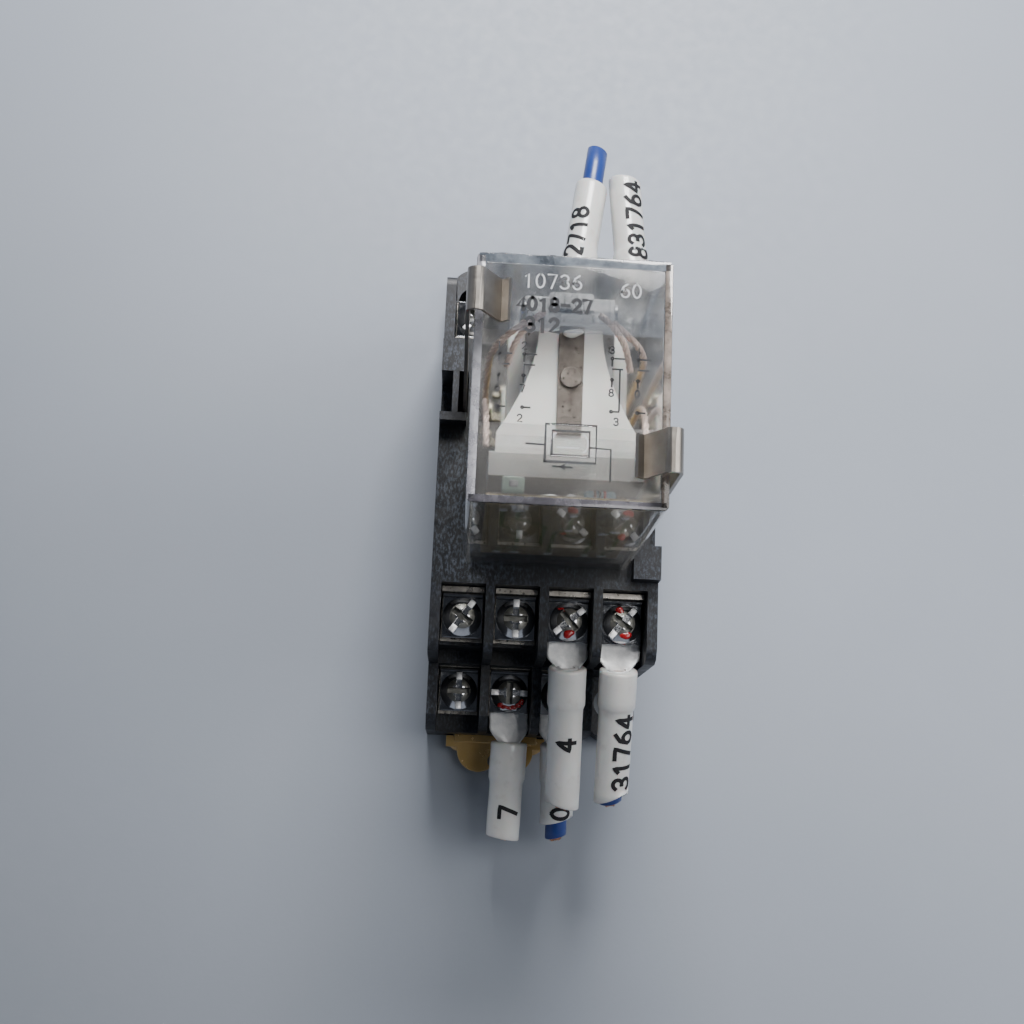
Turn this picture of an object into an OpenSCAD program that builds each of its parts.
/* [Socket] */
// Width of the socket, across its four terminal columns
socket_w = 29.5; // [29.3:0.1:29.9]
// Length of the socket, end to end
socket_l = 69.4; // [69:0.1:69.8]
// Height of the flat deck that the relay stands on
deck_h = 26; // [25.9:0.1:26.2]
// Length of the central block between the two upper rows of cells
block_l = 33.2; // [33:0.1:33.4]
// Length over both upper rows of cells
upper_l = 51.8; // [51.6:0.1:52]
// Height of the walls round the lower cells
low_wall_h = 14.8; // [14.6:0.1:15.2]
// Height of the bottom moulding
base_h = 7.3; // [7.2:0.1:7.4]
// Distance between neighbouring terminal columns
pitch = 7; // [6.95:0.05:7.05]
// Thickness of a wall between two cells
wall = 1.2; // [1.1:0.1:1.3]
// Height of the strips beside the relay, above the deck
strip_h = 2.6; // [2:0.1:3]
// Diameter of the two mounting holes
mount_d = 4.5; // [4.3:0.1:4.6]

/* [Rail groove] */
// Width of the groove for the 35 mm rail
groove_w = 35.4; // [35.2:0.1:35.6]
// Depth of the groove
groove_h = 4.5; // [4.4:0.1:4.7]
// How far the fixed hook and the latch reach under the rail
hook_l = 1.2; // [1:0.1:1.4]
// Width of the rail latch
latch_w = 14; // [13.8:0.1:14.1]
// Travel of the rail latch
latch_travel = 2.5; // [2:0.1:2.5]

/* [Terminals] */
// Distance of the upper screws from the middle of the socket
upper_row_y = 20.6; // [20.5:0.1:20.7]
// Distance of the lower screws from the middle of the socket
lower_row_y = 29.2; // [29.1:0.1:29.3]
// Height of the floor under the upper terminal plates
upper_floor = 19.6; // [19.5:0.1:19.7]
// Thickness of a terminal plate
plate_t = 0.8; // [0.7:0.1:0.9]
// Side of a square clamp washer
washer_side = 5.3; // [5:0.1:5.4]
// Diameter of a terminal screw's head
head_d = 5.1; // [4.8:0.1:5.2]

/* [Relay] */
// Width of the relay's clear cover
relay_w = 21.5; // [21.3:0.1:21.6]
// Length of the clear cover
relay_l = 28; // [27.9:0.1:28.1]
// Height of the clear cover
relay_h = 36; // [35.8:0.1:36.1]
// Thickness of the clear cover
cover_t = 0.8; // [0.7:0.1:0.9]
// Distance between neighbouring columns of blades
blade_pitch = 4.4; // [4.35:0.05:4.45]
// How far the blades stand out below the relay
blade_l = 6.4; // [6.2:0.1:6.4]

/* [Clips] */
// Width of a hold-down clip
clip_w = 4.8; // [4.7:0.1:5]
// Thickness of the clip's spring steel
clip_t = 0.4; // [0.35:0.05:0.4]
// How far along the relay each clip sits from the middle
clip_y = 8.3; // [8.2:0.1:8.4]

/* [Wires] */
// Diameter of the blue wire over its insulation
wire_d = 3; // [2.8:0.1:3]
// Diameter of the white sleeve
sleeve_d = 4.6; // [4.5:0.1:4.6]
// Diameter of the sleeve where it covers the lug's barrel
cap_d = 5.1; // [5:0.1:5.2]

/* [Hidden] */
$fn = 40;

eps = 0.01;            // overlap that joins two shapes into one solid
slack = 0.1;           // gap round a piece that sits in a pocket
through = 100;         // length of a cut that goes right through

half_w = socket_w / 2;
half_l = socket_l / 2;
columns = [-1.5 * pitch, -0.5 * pitch, 0.5 * pitch, 1.5 * pitch];
lower_columns = [-1.5 * pitch, -0.5 * pitch, 0.5 * pitch];
cell_w = pitch - wall;
upper_floor_end = 24;   // the upper cells' floors stop short of their walls

// The ear in the corner that has no lower terminal
ear_x = 11;
ear_y = 29.5;
ear_w = 7;
ear_h = 5;

// Heights of the clamp stack: plate, lug, washer and screw head
lug_t = 0.8;
washer_t = 0.7;
head_h = 2;
upper_plate_top = upper_floor + plate_t;
lower_plate_top = base_h + plate_t;
screw_d = 3;
screw_drop = 4.6;      // length of the screw below its washer
slot_w = 0.8;
upper_screw_seat = upper_plate_top + lug_t + washer_t;
lower_screw_seat = lower_plate_top + lug_t + washer_t;
tab_t = 0.7;
tab_h = 3.4;
tab_sunk = 0.6;        // how far the lower tabs are let into the upper tier
slot_depth = 0.9;

// The relay stands a little above the deck
relay_z = deck_h + 0.3;
blade_w = 2.6;
blade_t = 0.5;
blade_gap = 0.06;      // running gap between a blade and its receptacle
blade_columns = [-1.5 * blade_pitch, -0.5 * blade_pitch, 0.5 * blade_pitch, 1.5 * blade_pitch];
nc_y = -8.9;
no_y = -4.8;
com_y = 1.55;
coil_y = 7.9;
receptacle_bottom = 18.6;
receptacle_top = 25.4;
leaf_t = 0.35;
link_w = 1;
com_link_z = 17;
hollow_top = 18.3;     // ceiling of the hollow in the central block

// The rail latch and its spring
latch_x = -4.95;
latch_low = 0.3;
latch_high = 3.1;
latch_step = 1.2;      // height at which the latch gets wider and is held
latch_tip_y = -39.8;
latch_slot_w = 3;
post_y = [-31, -29.4];
spring_room = 6.4;      // length left for the spring when the latch is pulled right out
latch_slot_y = [-33.5, post_y[1] + latch_travel + spring_room];
spring_r = 1;
spring_wire = 0.35;
spring_turns = 7;
spring_z = (latch_low + latch_high) / 2;

// The magnet and its moving parts, from the relay's underside up
coil_x = 0;
coil_cy = 1.5;
core_r = 2.75;
bobbin_z = [6, 28];
flange_t = 1.2;
flange_side = 13.6;
tube_r = 3.9;
winding_r = 6.3;
tape_t = 0.2;
leg_z = [3, 4.6];
yoke_t = 1.6;
yoke_w = 11;
pole_r = 4.5;
pole_z = [28, 28.9];
yoke_mid = 10.4;       // the armature rocks on the yoke's round top edge
hinge_z = 28.8;
armature_z = 29.7;
armature_t = 1.3;
armature_y = [-6.5, 11.1];
armature_w = 10;
card_y = [-10.1, -7.4];
card_z = [24, 32.2];
card_w = 17;
spring_y = -9.6;       // plane of the four moving contact springs
moving_t = 0.2;
contact_z = 11.5;
contact_r = 1.1;
moving_button = 0.6;   // height of a moving contact on each side of its spring
fixed_button = 0.55;
fixed_strip_t = 0.3;
com_step = 3.4;        // how far the inner common blades' links lie behind the outer ones
contact_gap = 1.05;    // opening between a moving contact and the make contact
foot_z = 2.45;         // level of the stamped feet that join strips to blades
foot_t = 0.3;
strip_top = 13.4;
board_y = [-12.95, -12.2];
board_z = [5, 33];
board_w = 17.2;

// The clips swing about their feet
clip_x = 11.5;         // middle of the strip beside the relay
clip_foot_z = 22;
clip_foot_r = 0.36;     // rolled foot that the clip swings on
clip_apex = 4.2;       // height of the bend above the relay
clip_tip_x = 7.7;
clip_slot = [11.1, 12.4];
clip_rib = 0.8;

// Where each wire ends: its column, which end of the socket, and its far end
upper_axis = upper_plate_top + wire_d / 2;
lower_axis = lower_plate_top + wire_d / 2;
barrel_r = 1.5;
barrel_bore = 1.05;
barrel_l = 5.2;
copper_r = 0.95;
neck_l = 1.4;
// Each route: start of the barrel, end of the sleeve
front_upper_3 = [[3.6, -26.2, upper_axis], [3.9, -44.3, 15]];
front_upper_4 = [[10.3, -26.2, upper_axis], [10.4, -43.3, 15]];
front_lower_2 = [[-3.2, -35.5, lower_axis], [-3.6, -48.8, 8]];
front_lower_3 = [[3.6, -35.5, lower_axis], [3.8, -46.4, 6.9]];
rear_upper_3 = [[2.9, 26.2, upper_axis], [5, 42.5, 19.5]];
rear_upper_4 = [[11, 26.2, upper_axis], [9.6, 43.5, 19.8]];
// How far each wire stands out of its sleeve
front_upper_3_out = 0.3;
front_upper_4_out = 0.7;
front_lower_2_out = 0.2;
front_lower_3_out = 2.5;
rear_upper_3_out = 6.52;
rear_upper_4_out = 0.5;

// ---------- helpers ----------

// Copies its children at both ends of the socket, turned half a turn
module both_ends() {
    children();
    rotate([0, 0, 180]) children();
}

// A box given by its two opposite corners
module box(low, high) {
    translate(low) cube([for (i = [0:2]) high[i] - low[i]]);
}

// A rectangle with round corners, centred
module round_rect(w, l, r) {
    square([w - 2 * r, l], center = true);
    square([w, l - 2 * r], center = true);
    for (x = [-1, 1], y = [-1, 1])
        translate([x * (w / 2 - r), y * (l / 2 - r)]) circle(r);
}

// A flat bar between two points of one level
module bar(from, to, z, w, t) {
    run = to - from;
    translate([from[0], from[1], z])
        rotate([0, 0, atan2(run[1], run[0])])
            translate([-w / 2, -w / 2, 0]) cube([norm(run) + w, w, t]);
}

// Lays its children, which stand along +Z, on the line from one point towards another
module laid(from, to) {
    run = to - from;
    translate(from)
        rotate([0, acos(run[2] / norm(run)), atan2(run[1], run[0])]) children();
}

// A round rod between two points
module rod(from, to, r) {
    laid(from, to) cylinder(r = r, h = norm(to - from));
}

// ---------- socket ----------

module socket_outline() {
    square([socket_w, upper_l], center = true);
    both_ends()
        translate([-half_w, -half_l]) square([half_w + pitch + wall / 2, half_l]);
}

module ear() {
    difference() {
        union() {
            translate([ear_x, ear_w / 2 - half_l, 0]) cylinder(d = ear_w, h = ear_h);
            box([ear_x - ear_w / 2, ear_w / 2 - half_l, 0],
                [ear_x + ear_w / 2, -upper_l / 2 + eps, ear_h]);
        }
        translate([ear_x, -ear_y, -1]) cylinder(d = mount_d, h = ear_h + 2);
    }
}

module latch_channel() {
    wide = latch_w / 2 + 0.25;
    narrow = latch_w / 2 - 1;
    box([latch_x - wide, -through, latch_step - 0.2],
        [latch_x + wide, -groove_w / 2 + 1, latch_high + 0.2]);
    box([latch_x - narrow, -through, -1], [latch_x + narrow, -groove_w / 2 + 1, latch_step]);
}

module socket_base() {
    color("#17181b") {
        difference() {
            union() {
                linear_extrude(base_h) socket_outline();
                both_ends() ear();
            }
            both_ends() translate([ear_x, -ear_y, -1]) cylinder(d = mount_d, h = base_h + 2);
            box([-through, -groove_w / 2, -1], [through, groove_w / 2 - hook_l, groove_h]);
            box([-through, 0, latch_high + 0.1], [through, groove_w / 2, groove_h]);
            latch_channel();
            both_ends() screw_holes(lower_columns, lower_row_y, lower_screw_seat);
        }
        spring_post();
    }
}

module spring_post() {
    post_w = latch_slot_w - 0.6;
    box([latch_x - post_w / 2, post_y[0], latch_low + 0.1],
        [latch_x + post_w / 2, post_y[1], latch_high + 0.5]);
    translate([latch_x, post_y[1] - eps, spring_z])
        rotate([-90, 0, 0]) cylinder(d = 1.1, h = 2.2);
}

module upper_cells() {
    for (x = columns) {
        box([x - cell_w / 2, -through, upper_floor], [x + cell_w / 2, -block_l / 2, through]);
        box([x - cell_w / 2, -through, low_wall_h], [x + cell_w / 2, -upper_floor_end, through]);
    }
}

module lower_cells() {
    for (x = lower_columns)
        box([x - cell_w / 2, -through, -1], [x + cell_w / 2, -upper_l / 2, through]);
}

// Strip beside the relay with the slot that the clip's foot sits in
module clip_strip() {
    box([-half_w, clip_y - 3.9, deck_h - 1],
        [-clip_slot[0] - slack, block_l / 2 - 1.1, deck_h + strip_h]);
}

module clip_pocket() {
    low = clip_y - clip_w / 2 - 0.4;
    high = clip_y + clip_w / 2 + 0.4;
    box([-clip_slot[1], low, clip_foot_z - 1], [-clip_slot[0], high, through]);
    box([-through, low, deck_h - 4], [-clip_slot[1] - clip_rib, high, through]);
}

// Holes for screws whose heads sit at the given height
module screw_holes(columns_used, row_y, seat) {
    for (x = columns_used)
        translate([x, -row_y, seat - screw_drop - 0.4])
            cylinder(d = screw_d + 0.4, h = screw_drop + 0.4);
}

// Upper tier with its top edges rounded off at both ends
module upper_tier() {
    end = upper_l / 2;
    half = [[0, base_h], [end, base_h], [end, deck_h - 2.2], [end - 0.5, deck_h - 0.8],
        [end - 1.9, deck_h]];
    other = [for (i = [len(half) - 1:-1:1]) [-half[i][0], half[i][1]]];
    translate([-half_w, 0, 0]) rotate([90, 0, 90])
        linear_extrude(socket_w) polygon(concat(half, other));
}

module receptacle_pocket(x, y) {
    w = blade_w + 0.6;
    l = blade_t + 2 * (leaf_t + blade_gap) + 0.4;
    translate([x - w / 2, y - l / 2, hollow_top - 1]) cube([w, l, through]);
}

module socket_housing() {
    color("#141518")
        difference() {
            union() {
                upper_tier();
                translate([0, 0, base_h]) linear_extrude(low_wall_h - base_h) socket_outline();
                both_ends() clip_strip();
            }
            both_ends() {
                upper_cells();
                lower_cells();
                clip_pocket();
                screw_holes(columns, upper_row_y, upper_screw_seat);
                lower_tab_pockets();
                lower_end_rounding();
            }
            hollow_w = socket_w - 2 * wall - 1.6;
            box([-hollow_w / 2, 1 - block_l / 2, base_h - 1],
                [hollow_w / 2, block_l / 2 - 1, hollow_top]);
            receptacle_pockets();
            link_channels();
        }
}

// What is cut off the lower walls' outer top edge
module lower_end_rounding() {
    h = low_wall_h;
    cut = [[half_l - 1.9, h], [half_l - 0.6, h - 0.9], [half_l + eps, h - 2.4], [half_l + 1, h - 2.4],
        [half_l + 1, h + 1], [half_l - 1.9, h + 1]];
    translate([-half_w - 1, 0, 0])
        rotate([90, 0, 90]) linear_extrude(socket_w + 2) polygon([for (p = cut) [-p[0], p[1]]]);
}

// Pockets in the upper tier's ends for the lower terminals' upright tabs
module lower_tab_pockets() {
    w = cell_w / 2 - slack;
    for (x = lower_columns)
        box([x - w, -upper_l / 2 - eps, base_h - 1],
            [x + w, slack + tab_sunk - upper_l / 2, lower_plate_top + tab_h + slack]);
}

module receptacle_pockets() {
    for (x = blade_columns) {
        receptacle_pocket(x, nc_y);
        receptacle_pocket(x, no_y);
        receptacle_pocket(x, com_y);
    }
    for (x = [blade_columns[0], blade_columns[3]]) receptacle_pocket(x, coil_y);
}

// Ends of the link from an upper front terminal to its receptacle
function nc_link(i) = [[columns[i], -block_l / 2 - 0.45], [blade_columns[i], nc_y - 1]];

// Channels that the terminals' links run through, from the cells inwards
module link_channels() {
    w = link_w + 0.4;
    for (i = [0:3])
        bar(nc_link(i)[0], nc_link(i)[1], upper_floor - slack, w, plate_t + 2 * slack);
    for (x = columns) {
        box([x - w / 2, block_l / 2 - 2.4, hollow_top - 1],
            [x + w / 2, block_l / 2 + eps, upper_floor + plate_t + slack]);
    }
    both_ends()
        for (x = lower_columns)
            box([x - w / 2, -upper_l / 2 - eps, base_h - 1], [x + w / 2, 0, base_h + plate_t + slack]);
}

// ---------- terminals ----------

// Two spring leaves on a cross web, which grip a blade
module receptacle(x, y) {
    inner = blade_t / 2 + blade_gap;
    web_top = receptacle_bottom + 0.7;
    for (side = [-1, 1])
        translate([x - blade_w / 2, y + side * (inner + leaf_t / 2) - leaf_t / 2, receptacle_bottom])
            cube([blade_w, leaf_t, receptacle_top - receptacle_bottom]);
    box([x - blade_w / 2, y - inner - leaf_t, receptacle_bottom],
        [x + blade_w / 2, y + inner + leaf_t, web_top]);
}

// Clamp plate under a screw, with the upright tab behind it
module clamp_plate(x, row_y, top, behind) {
    w = cell_w - 0.3;
    difference() {
        box([x - w / 2, -row_y - 3, top - plate_t], [x + w / 2, -behind, top]);
        translate([x, -row_y, top - 2]) cylinder(d = screw_d + 0.3, h = 4);
    }
    box([x - w / 2, -behind - tab_t, top - eps], [x + w / 2, -behind, top + tab_h]);
}

module upper_terminals() {
    top = upper_plate_top;
    behind = block_l / 2 + 0.15;
    color("#b9a58a") {
        for (i = [0:3]) {
            clamp_plate(columns[i], upper_row_y, top, behind);
            bar(nc_link(i)[0], nc_link(i)[1], top - plate_t, link_w, plate_t);
            receptacle(blade_columns[i], nc_y);
        }
        for (i = [0:3]) {
            x = columns[i];
            rotate([0, 0, 180]) clamp_plate(-x, upper_row_y, top, behind);
            box([x - link_w / 2, block_l / 2 - 2.2, top - plate_t],
                [x + link_w / 2, behind + 0.3, top]);
            box([x - link_w / 2, block_l / 2 - 2.2, com_link_z],
                [x + link_w / 2, block_l / 2 - 1.4, top]);
            bar([x, block_l / 2 - 1.8], [blade_columns[i], com_y], com_link_z, link_w * 0.8, plate_t);
            rise(blade_columns[i], com_y, com_link_z);
            receptacle(blade_columns[i], com_y);
        }
    }
}

// Upright leg from a link to the receptacle above it
module rise(x, y, from_z) {
    box([x - link_w / 2, y - link_w / 2, from_z],
        [x + link_w / 2, y + link_w / 2, receptacle_bottom + eps]);
}

// The lower terminals: column, end of the socket (-1 or 1), and the blade that each one feeds
lower_map = [
    [columns[0], -1, [blade_columns[0], no_y]],
    [columns[1], -1, [blade_columns[1], no_y]],
    [columns[2], -1, [blade_columns[2], no_y]],
    [columns[3], 1, [blade_columns[3], coil_y]],
    [columns[2], 1, [blade_columns[3], no_y]],
    [columns[1], 1, [blade_columns[0], coil_y]]];

module lower_terminals() {
    top = lower_plate_top;
    behind = upper_l / 2 - tab_sunk;
    inside = block_l / 2 - 1.6;
    color("#b9a58a")
        for (terminal = lower_map) {
            x = terminal[0];
            end = terminal[1];
            blade = terminal[2];
            rotate([0, 0, end < 0 ? 0 : 180]) clamp_plate(end < 0 ? x : -x, lower_row_y, top, behind);
            bar([x, end * (behind + 0.3)], [x, end * inside], top - plate_t, link_w, plate_t);
            bar([x, end * inside], blade, top - plate_t, link_w, plate_t);
            rise(blade[0], blade[1], top - plate_t);
            receptacle(blade[0], blade[1]);
        }
}

// Square clamp washer with its rear edge turned up
module washer(x, row_y, z) {
    difference() {
        box([x - washer_side / 2, -row_y - washer_side / 2, z],
            [x + washer_side / 2, -row_y + washer_side / 2, z + washer_t]);
        translate([x, -row_y, z - 1]) cylinder(d = screw_d + 0.2, h = washer_t + 2);
    }
    box([x - washer_side / 2, washer_side / 2 - row_y, z],
        [x + washer_side / 2, washer_side / 2 + 0.4 - row_y, z + 1.7]);
}

module upper_washers() {
    color("#c9cbd0") both_ends()
        for (x = columns) washer(x, upper_row_y, upper_plate_top + lug_t);
}

module lower_washers() {
    color("#c9cbd0") both_ends()
        for (x = lower_columns) washer(x, lower_row_y, lower_plate_top + lug_t);
}

// Pan head with a cross recess and a straight slot across it
module screw(x, row_y, z, turn) {
    crown_r = 3.6;
    cross_l = 3;
    cross_depth = slot_depth + 0.4;
    translate([x, -row_y, z]) {
        difference() {
            union() {
                intersection() {
                    cylinder(d = head_d, h = head_h);
                    translate([0, 0, head_h - crown_r]) sphere(r = crown_r, $fn = 48);
                }
                translate([0, 0, -screw_drop]) cylinder(d = screw_d, h = screw_drop + eps);
            }
            rotate([0, 0, turn]) {
                translate([-head_d, -slot_w / 2, head_h - slot_depth]) cube([2 * head_d, slot_w, 2]);
                translate([-slot_w / 2, -cross_l / 2, head_h - cross_depth])
                    cube([slot_w, cross_l, head_h]);
            }
        }
    }
}

module upper_screws() {
    turns = [55, 90, 40, 50];
    color("#d5d7db") both_ends()
        for (i = [0:3]) screw(columns[i], upper_row_y, upper_screw_seat, turns[i]);
}

module lower_screws() {
    turns = [90, 0, 65];
    color("#d5d7db") both_ends()
        for (i = [0:2]) screw(lower_columns[i], lower_row_y, lower_screw_seat, turns[i]);
}

// ---------- clips and rail latch ----------

// Outline of a clip in its own plane: foot, long leg, bend over the top and tongue
module clip_outline() {
    bend_r = 1.1;
    top = relay_z + relay_h;
    bend = [clip_x + clip_t / 2 - bend_r, top + clip_apex - bend_r];
    crown = bend + [0.1, bend_r];
    shoulder = bend + [-0.7, 0.85];
    hollow = bend + [-0.35, 0.75];
    tip = [clip_tip_x, top + 0.25];
    inner_tip = tip + [clip_t, 0.1];
    lip = tip + [-0.8, 0.7];
    translate([clip_x - clip_t / 2, clip_foot_z]) square([clip_t, bend[1] - clip_foot_z]);
    translate(bend) intersection() {
        difference() {
            circle(bend_r);
            circle(bend_r - clip_t);
        }
        translate([clip_t / 2 - bend_r, 0]) square(3 * bend_r);
    }
    polygon([shoulder, shoulder + [clip_t, 0.25], crown, crown - [0, clip_t], hollow, inner_tip, tip]);
    polygon([inner_tip, tip, lip, lip + [0.3, 0.3]]);
}

module clip() {
    translate([0, clip_w / 2, 0]) rotate([90, 0, 0]) linear_extrude(clip_w) clip_outline();
    translate([clip_x, clip_w / 2, clip_foot_z]) rotate([90, 0, 0]) cylinder(r = clip_foot_r, h = clip_w);
}

module clip_left() {
    color("#b8b6b2") translate([0, clip_y, 0]) mirror([1, 0, 0]) clip();
}

module clip_right() {
    color("#b8b6b2") translate([0, -clip_y, 0]) clip();
}

module rail_latch() {
    ledge = 1.2;
    pull_t = 2.4;
    pull_y = [-half_l - 1.7, -half_l - 0.15];
    tip_r = 3;
    tip_side = 2.4;
    driver_hole_y = latch_tip_y + 1.6;
    nose_y = -groove_w / 2 + hook_l;
    wide = latch_w / 2;
    narrow = wide - ledge;
    color("#c8922c")
        difference() {
            union() {
                box([latch_x - wide, -half_l + 3, latch_step], [latch_x + wide, nose_y, latch_high]);
                box([latch_x - narrow, -half_l - 1, latch_low], [latch_x + narrow, nose_y, latch_high]);
                box([latch_x - wide, pull_y[0], latch_low], [latch_x + wide, pull_y[1], latch_low + pull_t]);
                for (side = [-1, 1])
                    translate([latch_x + side * tip_side, latch_tip_y + tip_r, latch_low])
                        cylinder(r = tip_r, h = pull_t);
                box([latch_x - tip_side - tip_r, latch_tip_y + tip_r, latch_low],
                    [latch_x + tip_side + tip_r, -half_l, latch_low + pull_t]);
            }
            box([latch_x - latch_slot_w / 2, latch_slot_y[0], 0],
                [latch_x + latch_slot_w / 2, latch_slot_y[1], 2 * latch_high]);
            translate([latch_x, driver_hole_y, -1]) cylinder(r = 1, h = 2 * latch_high);
        }
}

// Compression spring between the post and the inner end of the latch's slot
module latch_spring() {
    start = post_y[1] + 0.05;
    span = latch_slot_y[1] - start - 0.05 - spring_wire;
    steps = spring_turns * 8;
    sides = 6;
    rings = [for (i = [0:steps], k = [0:sides - 1])
        let (turn = 360 * spring_turns * i / steps, a = 360 * k / sides,
            r = spring_r + spring_wire / 2 * cos(a))
        [r * cos(turn), start + spring_wire / 2 + span * i / steps + spring_wire / 2 * sin(a),
            r * sin(turn)]];
    faces = concat(
        [[for (k = [0:sides - 1]) k]],
        [for (i = [0:steps - 1], k = [0:sides - 1])
            [i * sides + k, (i + 1) * sides + k, (i + 1) * sides + (k + 1) % sides,
                i * sides + (k + 1) % sides]],
        [[for (k = [sides - 1:-1:0]) steps * sides + k]]);
    color("#9a9da3") translate([latch_x, 0, spring_z]) polyhedron(rings, faces);
}

// ---------- relay ----------

module relay_cover() {
    color([0.86, 0.87, 0.84, 0.35]) translate([0, 0, relay_z]) {
        difference() {
            linear_extrude(relay_h) round_rect(relay_w, relay_l, 0.7);
            translate([0, 0, -1]) linear_extrude(relay_h + 1 - cover_t)
                round_rect(relay_w - 2 * cover_t, relay_l - 2 * cover_t, 0.5);
        }
        difference() {
            box([-2.6, -9.2, relay_h - eps], [2.8, -5.1, relay_h + 0.25]);
            box([-1.9, -8.5, relay_h - 1 + cover_t], [2.1, -5.8, relay_h + 1]);
        }
    }
}

module relay_base() {
    w = relay_w - 2 * cover_t - 2 * slack;
    l = relay_l - 2 * cover_t - 2 * slack;
    color("#202124") translate([0, 0, relay_z])
        difference() {
            translate([0, 0, slack]) linear_extrude(2.2) round_rect(w, l, 0.4);
            for (x = blade_columns, y = [nc_y, no_y, com_y]) blade_slot(x, y);
            for (x = [blade_columns[0], blade_columns[3]]) blade_slot(x, coil_y);
        }
}

module blade_slot(x, y) {
    translate([x - blade_w / 2 - 0.05, y - blade_t / 2 - 0.05, -1])
        cube([blade_w + 0.1, blade_t + 0.1, 4]);
}

// A plug-in blade with a chamfered end, up to the foot level
module blade(x, y) {
    translate([x, y + blade_t / 2, 0]) rotate([90, 0, 0]) linear_extrude(blade_t)
        polygon([[-blade_w / 2, foot_z + foot_t], [-blade_w / 2, 0.8 - blade_l],
            [-blade_w / 2 + 0.6, -blade_l],
                 [blade_w / 2 - 0.6, -blade_l], [blade_w / 2, 0.8 - blade_l],
                     [blade_w / 2, foot_z + foot_t]]);
}

// A blade, its foot and the upright strip that carries a fixed contact
module contact_strip(x, blade_y, strip_y) {
    near = min(blade_y, strip_y) - fixed_strip_t / 2;
    far = max(blade_y, strip_y) + fixed_strip_t / 2;
    blade(x, blade_y);
    box([x - 1.3, near, foot_z], [x + 1.3, far, foot_z + foot_t]);
    box([x - 1.3, strip_y - fixed_strip_t / 2, foot_z],
        [x + 1.3, strip_y + fixed_strip_t / 2, strip_top]);
}

moving_face = moving_t / 2 + moving_button;
nc_face = spring_y - moving_face - 0.05;
no_face = spring_y + moving_face + contact_gap;
nc_strip_y = nc_face - fixed_button - fixed_strip_t / 2;
no_strip_y = no_face + fixed_button + fixed_strip_t / 2;

module blades_nc() {
    color("#c9b98e") translate([0, 0, relay_z])
        for (x = blade_columns) contact_strip(x, nc_y, nc_strip_y);
}

module blades_no() {
    color("#c9b98e") translate([0, 0, relay_z])
        for (x = blade_columns) contact_strip(x, no_y, no_strip_y);
}

module blades_com() {
    color("#c9b98e") translate([0, 0, relay_z])
        for (x = blade_columns) {
            side = sign(x);
            lane = abs(x) > blade_pitch ? com_y : com_y + com_step;
            blade(x, com_y);
            box([x - 0.6, com_y - 0.25, foot_z], [x + 0.6, lane + 0.5, foot_z + foot_t]);
            box([min(x - 0.6, side * 8.6), lane - 0.5, foot_z],
                [max(x + 0.6, side * 8.6), lane + 0.5, foot_z + foot_t]);
            translate([side * 8.3 - 0.3, lane - 0.5, foot_z]) cube([0.6, 1, 4]);
        }
}

module blades_coil() {
    color("#c9b98e") translate([0, 0, relay_z])
        for (x = [blade_columns[0], blade_columns[3]]) {
            blade(x, coil_y);
            translate([x - 0.5, coil_y - 0.25, foot_z]) cube([1, 0.5, 3]);
        }
}

module contacts_nc() {
    color("#dfe0e2") translate([0, 0, relay_z])
        for (x = blade_columns) translate([x, nc_face, contact_z])
            rotate([90, 0, 0]) cylinder(r = contact_r, h = fixed_button);
}

module contacts_no() {
    color("#dfe0e2") translate([0, 0, relay_z])
        for (x = blade_columns) translate([x, no_face + fixed_button, contact_z])
            rotate([90, 0, 0]) cylinder(r = contact_r, h = fixed_button);
}

module at_coil() {
    translate([coil_x, coil_cy, relay_z]) children();
}

module coil_bobbin() {
    color("#e9e7df") at_coil() difference() {
        union() {
            for (z = [bobbin_z[0], bobbin_z[1] - flange_t])
                translate([0, 0, z]) linear_extrude(flange_t) round_rect(flange_side, flange_side, 1.5);
            translate([0, 0, bobbin_z[0]]) cylinder(r = tube_r, h = bobbin_z[1] - bobbin_z[0]);
        }
        cylinder(r = core_r + 0.1, h = through);
    }
}

module coil_winding() {
    low = bobbin_z[0] + flange_t + 0.05;
    color("#a8583a") at_coil() translate([0, 0, low]) difference() {
        cylinder(r = winding_r, h = bobbin_z[1] - flange_t - 0.05 - low);
        translate([0, 0, -1]) cylinder(r = tube_r + 0.02, h = through);
    }
}

module coil_tape() {
    low = bobbin_z[0] + flange_t + 0.3;
    color("#d9c24a") at_coil() translate([0, 0, low]) difference() {
        cylinder(r = winding_r + tape_t + 0.02, h = bobbin_z[1] - flange_t - 0.3 - low);
        translate([0, 0, -1]) cylinder(r = winding_r + 0.02, h = through);
    }
}

module coil_core() {
    color("#8f9196") at_coil() {
        translate([0, 0, leg_z[0]]) cylinder(r = core_r, h = pole_z[1] - leg_z[0]);
        translate([0, 0, pole_z[0] + 0.05]) cylinder(r = pole_r, h = pole_z[1] - pole_z[0] - 0.05);
    }
}

module yoke() {
    color("#8b8d92") translate([0, 0, relay_z]) difference() {
        union() {
            box([-yoke_w / 2, -3.5, leg_z[0]], [yoke_w / 2, yoke_mid + yoke_t / 2, leg_z[1]]);
            translate([-yoke_w / 2, yoke_mid, 0]) rotate([90, 0, 90]) linear_extrude(yoke_w) {
                translate([-yoke_t / 2, leg_z[0]]) square([yoke_t, hinge_z - leg_z[0]]);
                translate([0, hinge_z]) circle(yoke_t / 2);
            }
        }
        translate([coil_x, coil_cy, 0]) cylinder(r = core_r + 0.05, h = 10);
    }
}

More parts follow.
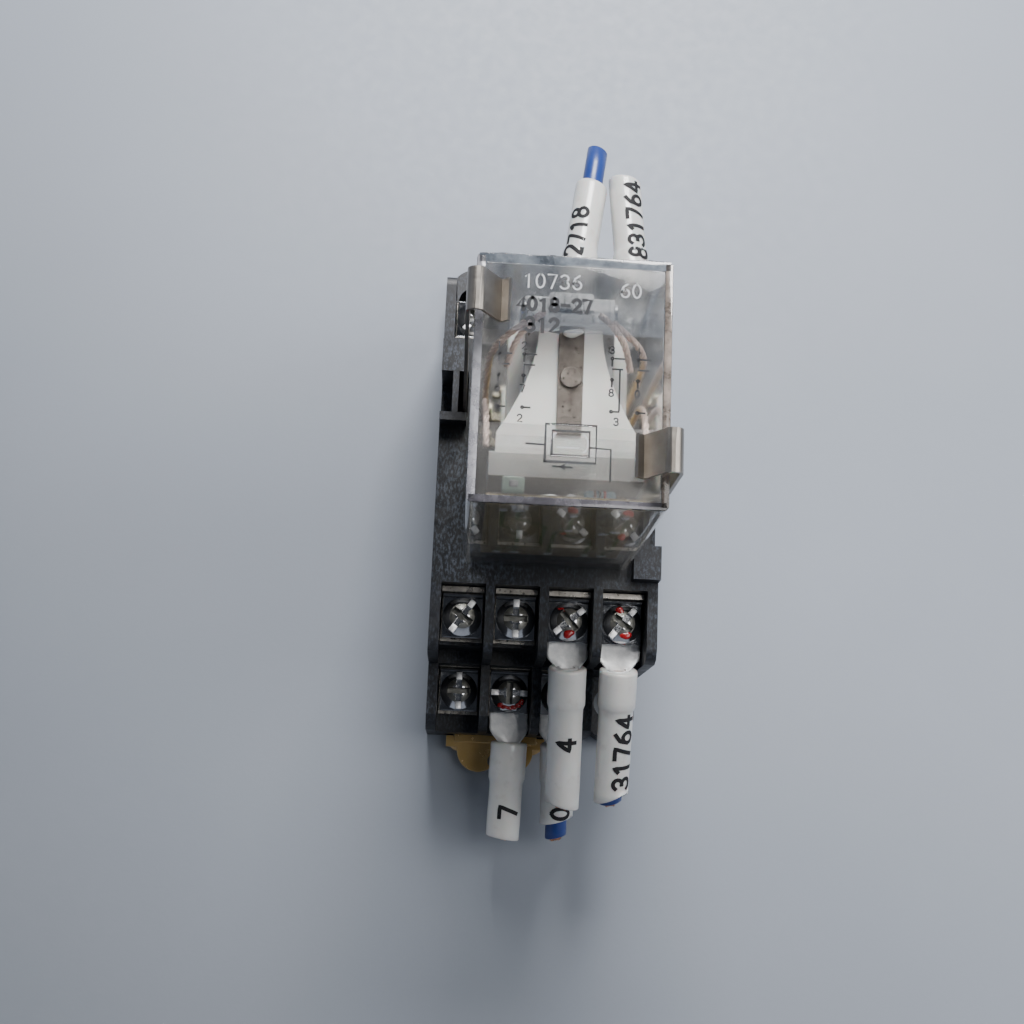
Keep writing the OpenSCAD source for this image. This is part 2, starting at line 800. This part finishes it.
// Leaf spring riveted to the yoke's back, bent over the armature's rear edge
module return_spring() {
    w = 5;
    t = 0.25;
    low = 18;
    front = 9.6;
    rivet_z = 21;
    rivet_t = 0.4;
    top = armature_z + armature_t + 0.15;
    back = yoke_mid + yoke_t / 2 + 0.05;
    color("#c6a15b") translate([0, 0, relay_z]) {
        box([-w / 2, back, low], [w / 2, back + t, top + t]);
        box([-w / 2, front, top], [w / 2, back + t, top + t]);
        translate([0, back + rivet_t + 0.15, rivet_z]) rotate([90, 0, 0]) cylinder(r = 1, h = rivet_t);
    }
}

module armature() {
    color("#94969b") translate([0, 0, relay_z])
        box([-armature_w / 2, armature_y[0], armature_z],
            [armature_w / 2, armature_y[1], armature_z + armature_t]);
}

// White moulded card: bell-shaped on the armature, with the block that holds the moving springs
module contact_card() {
    low = armature_z + armature_t;
    pocket = 3;
    color("#efeeea") translate([0, 0, relay_z]) {
        difference() {
            union() {
                translate([0, 0, low]) linear_extrude(card_z[1] - low) bell_outline();
                box([-card_w / 2, card_y[0], card_z[0]], [card_w / 2, card_y[1], card_z[1]]);
            }
            for (x = blade_columns)
                box([x - pocket / 2, spring_y - moving_t / 2, card_z[0] - 1],
                    [x + pocket / 2, spring_y + moving_t / 2, card_z[0] + pocket]);
        }
    }
}

module bell_outline() {
    steps = 8;
    neck = 3.5;
    flare_out = 4.3;
    flare_power = 1.8;
    rear = 6.9;
    flare_l = 12.1;
    foot = card_w / 2 - 0.7;
    flare = [for (i = [0:steps]) let (t = i / steps)
        [neck + flare_out * pow(t, flare_power), rear - flare_l * t]];
    left = [for (i = [steps:-1:0]) [-flare[i][0], flare[i][1]]];
    polygon(concat(flare, [[foot, card_y[1] - eps], [-foot, card_y[1] - eps]], left));
}

// The leaf lies along the card, and one rivet holds it
leaf_x = [-1.3, 1.5];
leaf_y = [-5.2, 7.2];
leaf_h = 0.35;
rivet_at = [0.1, 1.2];

module card_leaf() {
    color("#a3a5aa") translate([0, 0, relay_z + card_z[1] + 0.02])
        difference() {
            box([leaf_x[0], leaf_y[0], 0], [leaf_x[1], leaf_y[1], leaf_h]);
            translate([rivet_at[0], rivet_at[1], -1]) cylinder(r = 0.8, h = 3);
        }
}

module card_rivet() {
    head_r = 1.2;
    head_z = 0.4;
    shank_r = 0.75;
    shank_h = 0.5;
    color("#b7b9bd") translate([rivet_at[0], rivet_at[1], relay_z + card_z[1]]) {
        translate([0, 0, head_z]) cylinder(r = head_r, h = leaf_h);
        cylinder(r = shank_r, h = shank_h);
    }
}

module moving_springs() {
    w = 2.9;
    tail = 1.4;
    thin = moving_t / 2 - 0.01;
    color("#c98f6a") translate([0, 0, relay_z])
        for (x = blade_columns)
            difference() {
                box([x - w / 2, spring_y - thin, contact_z - tail],
                    [x + w / 2, spring_y + thin, card_z[0] + 2.9]);
                translate([x, spring_y + 1, contact_z]) rotate([90, 0, 0]) cylinder(r = 0.5, h = 2);
            }
}

module moving_contacts() {
    color("#dfe0e2") translate([0, 0, relay_z])
        for (x = blade_columns) translate([x, spring_y, contact_z]) rotate([90, 0, 0]) {
            translate([0, 0, moving_t / 2]) cylinder(r = contact_r, h = moving_button);
            translate([0, 0, -moving_t / 2 - moving_button]) cylinder(r = contact_r, h = moving_button);
            cylinder(r = 0.48, h = moving_t + 0.2, center = true);
        }
}

module led_board() {
    color("#b9a06a") translate([0, 0, relay_z])
        box([-board_w / 2, board_y[0], board_z[0]], [board_w / 2, board_y[1], board_z[1]]);
}

lamp_r = 0.9;
lamp_x = -5.8;
lamp_below = 2.4;

module led_lamp() {
    color("#4fae5a") translate([lamp_x, board_y[1] + 0.05, relay_z + board_z[1] - lamp_below]) {
        translate([0, lamp_r + slack, 0]) cylinder(r = lamp_r, h = 2);
        translate([0, lamp_r + slack, 2]) sphere(r = lamp_r);
    }
}

// Resistor and diode: a round body with a wire through it, lying along the board
axial_r = 0.8;
axial_wire_r = 0.25;
axial_wire_l = 1.2;
axial_x = 2.2;

module axial_part(z, body_l) {
    translate([axial_x, board_y[1] + axial_r + slack, relay_z + z]) {
        rotate([0, 90, 0]) cylinder(r = axial_r, h = body_l);
        translate([-axial_wire_l, 0, 0]) rotate([0, 90, 0])
            cylinder(r = axial_wire_r, h = body_l + 2 * axial_wire_l);
    }
}

module resistor() {
    color("#7fb3c8") axial_part(29, 3.6);
}

module diode() {
    color("#2a2a2c") axial_part(21, 3.4);
}

// Flexible leads from the common blades up both sides to the moving card
lead_r = 0.4;
lead_lap = 0.12;
lead_x = 8.9;
outer_lead = [[lead_x, com_y, 6.6], [lead_x, 1.2, 24], [lead_x, -3, 29], [lead_x, -6.4, 30.4]];
inner_lead = [[lead_x, com_y + com_step, 6.6], [lead_x, 5, 28], [7.4, 5.4, 32.2], [4.6, 7.6, 33.2]];

module lead(points) {
    for (i = [0:len(points) - 2]) {
        run = (points[i + 1] - points[i]) / norm(points[i + 1] - points[i]);
        rod(points[i] - run * lead_lap, points[i + 1] + run * lead_lap, lead_r, $fn = 8);
    }
}

module flexible_leads() {
    color("#c9a28c") translate([0, 0, relay_z])
        for (side = [0, 1]) mirror([side, 0, 0]) {
            lead(outer_lead);
            lead(inner_lead);
        }
}

// ---------- wires ----------

// Ring lug: eye under the washer, tongue, and the barrel crimped on the wire
module lug(route, column, row_y, plate_top) {
    start = route[0];
    end = sign(start[1]);
    lift = 0.03;
    eye = [column, end * row_y, plate_top + lift];
    eye_d = cell_w - 0.5;
    tongue_w = 3.6;
    tongue_end = start[1] - end * 2.3;
    t = lug_t - 2 * lift;
    rim_r = barrel_r - 0.2;
    outer_r = barrel_r - 0.02;
    color("#dcdddf") {
        difference() {
            union() {
                translate(eye) cylinder(d = eye_d, h = t);
                bar([eye[0], eye[1]], [start[0], tongue_end], eye[2], tongue_w, t);
            }
            translate([eye[0], eye[1], eye[2] - 1]) cylinder(d = screw_d + 0.3, h = 3);
        }
        laid(start, route[1]) rotate_extrude()
            polygon([[0, -neck_l], [rim_r, -neck_l], [outer_r, 0], [outer_r, barrel_l],
                     [barrel_bore, barrel_l], [barrel_bore, 1], [0, 1]]);
    }
}

module upper_lug(route, i) {
    lug(route, columns[i], upper_row_y, upper_plate_top);
}

module lower_lug(route, i) {
    lug(route, columns[i], lower_row_y, lower_plate_top);
}

// White sleeve, wider where it covers the barrel
module sleeve(route) {
    inner = wire_d / 2 + 0.03;
    cap_r = cap_d / 2;
    edge = 0.2;
    near = 0.3;
    length = norm(route[1] - route[0]);
    color("#eceded") laid(route[0], route[1]) rotate_extrude()
        polygon([[inner, near], [cap_r - edge, near], [cap_r, 2 * near], [cap_r, barrel_l],
                 [sleeve_d / 2, barrel_l + 0.5], [sleeve_d / 2, length], [inner, length]]);
}

// Blue wire, with its bare copper in the lug's barrel
module wire(route, out) {
    jacket_r = wire_d / 2 - 0.03;
    jacket = barrel_l + 0.1;
    copper_start = 1.1;
    length = norm(route[1] - route[0]) + out;
    color("#2f58b8") laid(route[0], route[1]) rotate_extrude()
        polygon([[0, copper_start], [copper_r, copper_start], [copper_r, jacket],
                 [jacket_r, jacket], [jacket_r, length], [0, length]]);
}

socket_base();
socket_housing();
upper_terminals();
lower_terminals();
upper_washers();
lower_washers();
upper_screws();
lower_screws();
clip_left();
clip_right();
rail_latch();
latch_spring();
relay_cover();
relay_base();
blades_nc();
blades_no();
blades_com();
blades_coil();
contacts_nc();
contacts_no();
coil_bobbin();
coil_winding();
coil_tape();
coil_core();
yoke();
return_spring();
led_board();
led_lamp();
resistor();
diode();
flexible_leads();
armature();
contact_card();
card_leaf();
card_rivet();
moving_springs();
moving_contacts();
upper_lug(front_upper_3, 2);  // lug_front_upper_3
sleeve(front_upper_3);  // sleeve_front_upper_3
wire(front_upper_3, front_upper_3_out);  // wire_front_upper_3
upper_lug(front_upper_4, 3);  // lug_front_upper_4
sleeve(front_upper_4);  // sleeve_front_upper_4
wire(front_upper_4, front_upper_4_out);  // wire_front_upper_4
lower_lug(front_lower_2, 1);  // lug_front_lower_2
sleeve(front_lower_2);  // sleeve_front_lower_2
wire(front_lower_2, front_lower_2_out);  // wire_front_lower_2
lower_lug(front_lower_3, 2);  // lug_front_lower_3
sleeve(front_lower_3);  // sleeve_front_lower_3
wire(front_lower_3, front_lower_3_out);  // wire_front_lower_3
upper_lug(rear_upper_3, 2);  // lug_rear_upper_3
sleeve(rear_upper_3);  // sleeve_rear_upper_3
wire(rear_upper_3, rear_upper_3_out);  // wire_rear_upper_3
upper_lug(rear_upper_4, 3);  // lug_rear_upper_4
sleeve(rear_upper_4);  // sleeve_rear_upper_4
wire(rear_upper_4, rear_upper_4_out);  // wire_rear_upper_4
